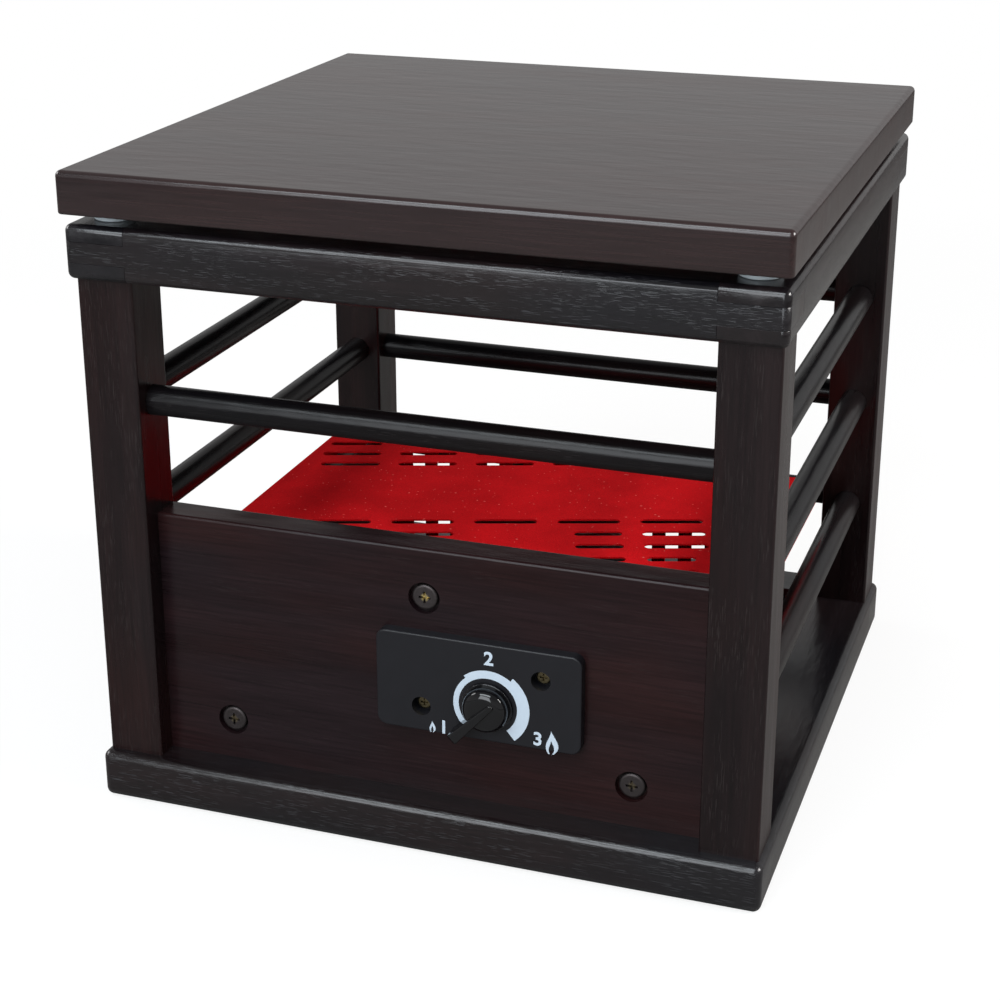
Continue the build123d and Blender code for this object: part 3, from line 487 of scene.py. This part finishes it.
tray_paint = (0.022, 0.008, 0.008, 1.0)
steel = (0.48, 0.48, 0.49, 1.0)
aluminium = (0.86, 0.87, 0.88, 1.0)
coil_grey = (0.30, 0.27, 0.25, 1.0)
ceramic = (0.72, 0.69, 0.62, 1.0)
sleeve_cream = (0.66, 0.63, 0.56, 1.0)
quartz_clear = (0.96, 0.96, 0.97, 1.0)
quartz_hazed = (0.85, 0.86, 0.88, 1.0)
quartz = {"Transmission Weight": 1.0, "IOR": 1.46, "Roughness": 0.05}
sheet_steel = plain_metal("sheet_steel", steel, roughness=0.4, streak_axis="X")
finish_node("heater_tray", moulded("tray_paint", tray_paint, roughness=0.5, grain=1800.0, depth=0.00006))
for name in ("heat_shield", "terminal_case", "reflector_brackets", "shield_spacers"):
    finish_node(name, sheet_steel)
finish_node("reflector", plain_metal("bright_aluminium", aluminium, roughness=0.2, streak_axis="X"))
for name in ("heater_sockets", "terminal_block"):
    finish_node(name, moulded(f"{name}_ceramic", ceramic, roughness=0.6, grain=2600.0, depth=0.00005))
finish_node("heater_coil", plain_metal("coil_wire", coil_grey, roughness=0.45, streak_axis="Y"))
tube_quartz = mottled("quartz_tube", quartz_clear, quartz_hazed, stretch=3.0, scale=220.0, constants=quartz)
finish_node("heater_tube", tube_quartz)
finish_node("heater_leads", moulded("lead_sleeve", sleeve_cream, roughness=0.55, grain=2200.0, depth=0.00004))
finish_node("thermal_fuse", zinc_plate)


# ---- Heater guard ----
# One sheet of steel folded down at its sides and back, slotted, and covered all over in red flock:
# short upright fibres that look matt head on and lighter at a glancing angle.
flock_deep = (0.41, 0.0030, 0.0050, 1.0)
flock_bright = (0.53, 0.0042, 0.0070, 1.0)
flock_lint = (0.85, 0.22, 0.20, 1.0)
nap_span = (0.35, 0.65)
nap_shares = (0.25, 1.0)
flock_shades = (0.78, 1.2)
lint_span = (0.80, 0.84)
lint_share = 0.7
flock_strength = 0.6
flock_depth = 0.0003
flock_skin = {
    "Roughness": 0.95,
    "Specular IOR Level": 0.02,
    "Sheen Weight": 0.2,
    "Sheen Roughness": 0.5,
    "Sheen Tint": (1.0, 0.06, 0.07, 1.0),
}


def red_flock():
    """Flock: mottled red, fine fibre bump, sheen, and sparse pale specks of lint."""
    material, tree, shader = surface("red_flock", flock_skin)
    nap = stretched_noise(tree, "X", stretch=1.0, scale=55.0, detail=3.0, shift=0.0)
    fibres = stretched_noise(tree, "X", stretch=1.0, scale=2600.0, detail=2.0, shift=3.0)
    specks = stretched_noise(tree, "X", stretch=1.0, scale=700.0, detail=0.0, shift=9.0)
    tone = mixed(tree, ranged(tree, nap, *nap_span, *nap_shares), flock_deep, flock_bright)
    tone = scaled(tree, tone, ranged(tree, fibres, *noise_span, *flock_shades))
    lint = ranged(tree, specks, *lint_span, 0.0, lint_share)
    tree.links.new(mixed(tree, lint, tone, flock_lint), shader.inputs["Base Color"])
    tree.links.new(bumped(tree, fibres, flock_strength, flock_depth), shader.inputs["Normal"])
    return material


finish_node("heater_guard", red_flock())


# ---- Cord bush ----
# A black rubber bush snapped into the guard's back, where the supply cord comes out. Its skin is matt
# and finely grained.
bush_black = (0.02, 0.02, 0.021, 1.0)
finish_node("cord_bush", moulded("bush_rubber", bush_black, roughness=0.6, grain=2000.0, depth=0.00005))


# ---- Control plate and regulator ----
# A plate of black plastic with softly rounded corners, screwed to the panel through two deep recesses.
# Its skin has a fine tool grain. The regulator behind it is held by its nut and turned by its shaft.
plate_black = (0.0100, 0.0100, 0.0125, 1.0)
aged_brass = (0.17, 0.14, 0.08, 1.0)
unit_brown = (0.035, 0.032, 0.03, 1.0)
plate_plastic = moulded(
    "plate_plastic", plate_black, roughness=0.36, grain=3200.0, depth=0.00003, specular=0.3
)
finish_node("control_plate", plate_plastic)
finish_node("plate_screws", plain_metal("aged_brass", aged_brass, roughness=0.4, streak_axis="Y"))
finish_node("control_unit", moulded("unit_plastic", unit_brown, roughness=0.5, grain=1500.0, depth=0.00005))
finish_node("control_nut", zinc_plate)
finish_node("control_shaft", zinc_plate)


# ---- Printed dial ----
# The heat scale is pad printed on the plate in pale ink: a ring that grows wider in three steps from
# low to high heat, a number at each step, and a small and a large flame at its two ends.
knob_joint = next(joint for joint in frame["joints"] if joint["name"] == "knob_turn")
dial_x, _, dial_z = knob_joint["pos_m"]
plate_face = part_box("control_plate")[0].y
ink_low = (0.53, 0.62, 0.71, 1.0)
ink_high = (0.59, 0.68, 0.77, 1.0)
ink_skin = {"Roughness": 0.5, "Specular IOR Level": 0.3}
ink = mottled("pale_ink", ink_low, ink_high, stretch=1.0, scale=900.0, constants=ink_skin)
ink_height = 0.00006
ink_sink = 0.00002
weld_distance = 1e-7


def grid_mesh(name, points, closed=False):
    """A mesh over a grid of points, rows by columns, joined into quads; closed joins its last column on."""
    rows, columns = points.shape[:2]
    index = np.arange(rows * columns).reshape(rows, columns)
    if closed:
        index = np.hstack([index, index[:, :1]])
    corners = (index[:-1, :-1], index[:-1, 1:], index[1:, 1:], index[1:, :-1])
    faces = np.stack([corner.ravel() for corner in corners], axis=1)
    mesh = bpy.data.meshes.new(name)
    mesh.from_pydata(points.reshape(-1, 3).tolist(), [], faces.tolist())
    return mesh


def add_print(name, mesh):
    """A print of that mesh in ink on the plate, with its normals pointing outwards."""
    work = bmesh.new()
    work.from_mesh(mesh)
    bmesh.ops.remove_doubles(work, verts=work.verts, dist=weld_distance)
    bmesh.ops.recalc_face_normals(work, faces=work.faces)
    work.to_mesh(mesh)
    work.free()
    mesh.materials.clear()
    mesh.materials.append(ink)
    mesh.shade_flat()
    piece = bpy.data.objects.new(name, mesh)
    bpy.context.scene.collection.objects.link(piece)
    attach(piece, "stand")


def outline_print(name, inner, outer):
    """A thin closed print between two outlines of matching points, given as x and z on the plate.

    The section runs round four corners: inner back, inner front, outer front and outer back.
    """
    back = np.full(len(inner), plate_face + ink_sink)
    front = np.full(len(inner), plate_face - ink_height)
    ring = [
        np.stack([edge[:, 0], depth, edge[:, 1]], axis=1)
        for edge, depth in ((inner, back), (inner, front), (outer, front), (outer, back))
    ]
    mesh = grid_mesh(name, np.stack(ring, axis=1), closed=True)
    work = bmesh.new()
    work.from_mesh(mesh)
    bmesh.ops.holes_fill(work, edges=[edge for edge in work.edges if edge.is_boundary], sides=4)
    work.to_mesh(mesh)
    work.free()
    add_print(name, mesh)


# Each step of the ring: its first and last angle, clockwise from the low end, and its outer radius
ring_steps = [(-137.0, -230.0, 0.0152), (-230.0, -307.0, 0.0164), (-307.0, -410.0, 0.0182)]
ring_inner = 0.0128
ring_points = 60
dial_centre = np.array([dial_x, dial_z])
for number, (start, end, outer_radius) in enumerate(ring_steps, start=1):
    turn = np.radians(np.linspace(start, end, ring_points))
    outwards = np.stack([np.cos(turn), np.sin(turn)], axis=1)
    inner = dial_centre + ring_inner * outwards
    outline_print(f"dial_ring_{number}", inner, dial_centre + outer_radius * outwards)

flame_points = 48
flame_taper = 1.15
flame_belly = 1.6
flame_foot = 0.86
flame_lean = 0.10
flame_width = 0.50
hollow_width = 0.22
hollow_height = 0.60


def flame_outline(width, height):
    """Outline of a flame as x and z, from its left foot over the tip to its right foot.

    Across: a sine hump, swollen low down, that leans a little to one side. Up: a rise by a power of
    the way along, that ends in a point.
    """
    share = np.linspace(-1.0, 1.0, flame_points)
    rise = 1.0 - np.abs(share) ** flame_taper
    swell = np.sin(np.pi * np.abs(share) ** flame_belly * flame_foot) * np.sign(share)
    lean = flame_lean * np.sin(np.pi * rise)
    return np.stack([width * (0.5 * swell + lean), height * rise], axis=1)


# Each flame's middle, from the dial's centre, and its height
flames = [(-0.0248, -0.0135, 0.0054), (0.0276, -0.0120, 0.0108)]
for number, (x, z, tall) in enumerate(flames, start=1):
    foot = dial_centre + np.array([x, z - tall / 2])
    outer = foot + flame_outline(flame_width * tall, tall)
    inner = foot + flame_outline(hollow_width * tall, hollow_height * tall)
    outline_print(f"dial_flame_{number}", inner, outer)

number_size = 0.0084
number_boldness = 0.00022
number_places = {"1": (-0.0196, -0.0133), "2": (0.0004, 0.0217), "3": (0.0218, -0.0116)}


def number_print(text, x, z):
    """A plain number laid on the plate's face, thickened to the depth of the ink."""
    letter = bpy.data.curves.new(f"dial_number_{text}", "FONT")
    letter.body = text
    letter.size = number_size
    letter.align_x = "CENTER"
    letter.align_y = "CENTER"
    letter.offset = number_boldness
    letter.extrude = (ink_height + ink_sink) / 2
    shown = bpy.data.objects.new("letter", letter)
    bpy.context.scene.collection.objects.link(shown)
    bpy.context.view_layer.update()
    evaluated = shown.evaluated_get(bpy.context.evaluated_depsgraph_get())
    mesh = bpy.data.meshes.new_from_object(evaluated)
    mesh.name = f"dial_number_{text}"
    bpy.data.objects.remove(shown)
    corners = np.empty(len(mesh.vertices) * 3)
    mesh.vertices.foreach_get("co", corners)
    flat = corners.reshape(-1, 3)
    depth = plate_face - (ink_height - ink_sink) / 2 - flat[:, 2]
    placed = np.stack([flat[:, 0] + x, depth, flat[:, 1] + z], axis=1)
    mesh.vertices.foreach_set("co", placed.ravel())
    add_print(f"dial_number_{text}", mesh)


for text, (x, z) in number_places.items():
    number_print(text, dial_x + x, dial_z + z)


# ---- Knob ----
# A moulded knob of glossy black plastic, pressed on the regulator's shaft: a round domed cap on a
# collar, crossed by a raised bar that runs out past the rim to point at the scale.
knob_black = (0.0035, 0.0035, 0.0042, 1.0)
knob_plastic = moulded(
    "knob_plastic", knob_black, roughness=0.06, grain=1200.0, depth=0.00001, specular=0.45
)
finish_node("control_knob", knob_plastic)


# ---- Pads ----
# Four pads of pale milky rubber, stuck over the frame's screws, carry the board and leave a thin gap
# under it. Little of the wood shows through them.
pad_low = (0.72, 0.82, 0.88, 1.0)
pad_high = (0.82, 0.90, 0.94, 1.0)
rubber = {"Roughness": 0.25, "Transmission Weight": 0.05, "IOR": 1.45}
pad_rubber = mottled("clear_rubber", pad_low, pad_high, stretch=1.0, scale=500.0, constants=rubber)
finish_node("top_pads", pad_rubber)


# ---- Board ----
# The loose board lies on the pads. It is faced and lipped in close-grained wood under a smooth satin
# coat, so its top shows a broad soft reflection and hardly any pores.
board_dark = (0.0135, 0.0078, 0.0078, 1.0)
board_light = (0.0230, 0.0132, 0.0128, 1.0)
# Pale pore colour, partly painted highlight on the pores' lit lips
board_pore_and_highlight = (0.030, 0.022, 0.020, 1.0)
board_grain = 121.0
board_crown_reach = 0.006
board_crown_drop = 0.0003
board_wood = stained_wood(
    "board_wood", "X", board_grain, board_dark, board_light, board_pore_and_highlight,
    pores=0.1, roughness=0.22, figure=0.25, dull=0.5,
    crown=(*heights("table_top"), board_crown_reach, board_crown_drop),
)
finish_node("table_top", board_wood)


# ---- Studio ----
# A wide pale floor under an even dome of light, with a large cool soft box in front, a narrow one high
# above that draws bright lines along the edges, and a smaller one at each side.
floor_half = 8.0
bounce_grey = (0.25, 0.245, 0.24, 1.0)
shadow_white = (0.93, 0.93, 0.93, 1.0)
white = (1.0, 1.0, 1.0, 1.0)
glow_span = (0.35, 1.1)
glow_shares = (0.80, 1.0)


def floor_paint():
    """Pale floor: white that glows more with distance where it is seen, and a mild grey for its bounce."""
    constants = {"Base Color": bounce_grey, "Roughness": 1.0, "Specular IOR Level": 0.0}
    material, tree, shader = surface("studio_floor", constants)
    place = node(tree, "ShaderNodeTexCoord").outputs["Object"]
    away = node(tree, "ShaderNodeVectorMath", {0: place}, operation="LENGTH").outputs["Value"]
    matt = node(tree, "ShaderNodeBsdfDiffuse", {"Color": shadow_white}).outputs[0]
    glow = node(tree, "ShaderNodeEmission", {"Color": white, "Strength": 1.0}).outputs[0]
    share = ranged(tree, away, *glow_span, *glow_shares)
    seen = node(tree, "ShaderNodeMixShader", {0: share, 1: matt, 2: glow}).outputs[0]
    camera_ray = node(tree, "ShaderNodeLightPath").outputs["Is Camera Ray"]
    paint = node(tree, "ShaderNodeMixShader", {0: camera_ray, 1: shader.outputs[0], 2: seen}).outputs[0]
    tree.links.new(paint, tree.nodes["Material Output"].inputs["Surface"])
    return material


floor_points = np.array([[[x, y, 0.0] for y in (-floor_half, floor_half)] for x in (-floor_half, floor_half)])
studio_floor = bpy.data.objects.new("studio_floor", grid_mesh("studio_floor", floor_points))
bpy.context.scene.collection.objects.link(studio_floor)
studio_floor.data.materials.append(floor_paint())

wall_level = 0.48
ceiling_level = 0.28
wall_span = (0.30, 0.72)
world = bpy.data.worlds.new("studio")
bpy.context.scene.world = world
world.use_nodes = True
sky = world.node_tree
sky.nodes.clear()
sky_way = node(sky, "ShaderNodeTexCoord").outputs["Generated"]
upwards = node(sky, "ShaderNodeSeparateXYZ", {0: sky_way}).outputs["Z"]
dome = ranged(sky, upwards, *wall_span, wall_level, ceiling_level)
camera_ray = node(sky, "ShaderNodeLightPath").outputs["Is Camera Ray"]
level = node(sky, "ShaderNodeMix", {0: camera_ray, 2: dome, 3: 1.0}, data_type="FLOAT").outputs[0]
background = node(sky, "ShaderNodeBackground", {"Color": white, "Strength": level})
node(sky, "ShaderNodeOutputWorld", {"Surface": background.outputs[0]})


def soft_box(name, place, target, size, power, colour):
    """A rectangular lamp of that width and depth at a place, aimed at a target."""
    lamp = bpy.data.lights.new(name, "AREA")
    lamp.shape = "RECTANGLE"
    lamp.size, lamp.size_y = size
    lamp.energy = power
    lamp.color = colour
    box = bpy.data.objects.new(name, lamp)
    bpy.context.scene.collection.objects.link(box)
    box.location = place
    aim = Vector(target) - Vector(place)
    box.rotation_mode = "QUATERNION"
    box.rotation_quaternion = aim.to_track_quat("-Z", "Y")


cold_light = (0.88, 0.95, 1.0)
cool_light = (0.90, 0.95, 1.0)
warm_light = (1.0, 0.98, 0.96)
plain_light = (1.0, 1.0, 1.0)
floor_ahead = (-0.15, -0.65, 0.0)
middle = (0.0, 0.0, 0.12)
soft_box("high_box", (-0.15, -0.85, 1.2), floor_ahead, (1.0, 0.35), 9.0, cold_light)
soft_box("front_box", (-0.3, -2.0, 1.05), middle, (1.3, 1.2), 28.0, cool_light)
soft_box("right_box", (1.4, 0.1, 1.05), middle, (0.8, 0.5), 25.5, warm_light)
soft_box("left_box", (-1.4, 0.0, 1.05), middle, (0.8, 0.5), 10.0, plain_light)


# ---- Camera ----
# A long lens a little above the board, in front of the table and to its right, turned to its left and
# tilted down.
focal_pixels = 2021.0
image_pixels = 1000.0
camera_place = (0.2763, -0.8439, 0.4635)
camera_yaw = 18.88
camera_pitch = 20.26
camera_shift = -0.06
lens = bpy.data.cameras.new("camera")
lens.sensor_width = 36.0
lens.lens = focal_pixels * lens.sensor_width / image_pixels
lens.shift_y = camera_shift
lens.clip_start = 0.01
lens.clip_end = 50.0
camera = bpy.data.objects.new("camera", lens)
bpy.context.scene.collection.objects.link(camera)
camera.location = camera_place
camera.rotation_euler = (math.radians(90.0 - camera_pitch), 0.0, math.radians(camera_yaw))
bpy.context.scene.camera = camera
bpy.context.scene.view_settings.view_transform = "Standard"
